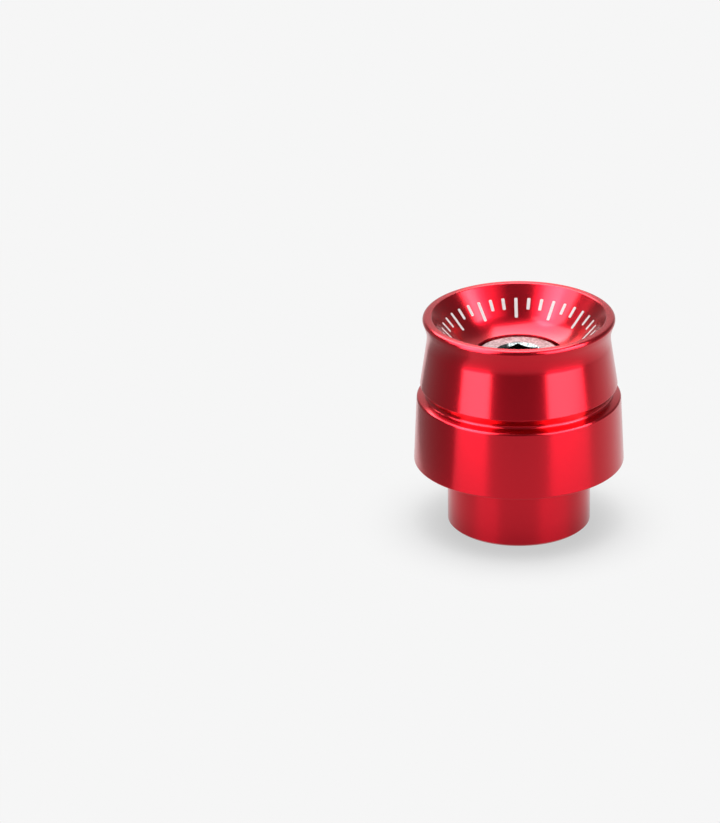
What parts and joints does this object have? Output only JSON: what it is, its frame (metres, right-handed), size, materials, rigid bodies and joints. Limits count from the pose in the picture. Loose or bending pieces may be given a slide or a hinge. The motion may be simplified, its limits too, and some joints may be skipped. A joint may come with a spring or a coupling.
{
  "type": "bar end weight",
  "caption": "Turned aluminium bar end weight for a motorcycle handlebar: spigot, grooved and flared barrel, dished face round a sunk socket screw.",
  "frame": {"origin": "centre of the spigot's end face, which butts against the handlebar's end and on which the weight stands", "axes": "+Z along the axis of turning, from the spigot towards the dished face; X and Y are arbitrary, with a corner of the screw's socket on +Y"},
  "size_m": [0.0324, 0.0324, 0.0337],
  "materials": {
    "anodised_body": "fine turned and red anodised, glossy",
    "stainless_screw": "cold formed A2 stainless steel, satin"
  },
  "bodies": {
    "root": {"weight_body": "anodised_body", "socket_screw": "stainless_screw"}
  },
  "joints": []
}
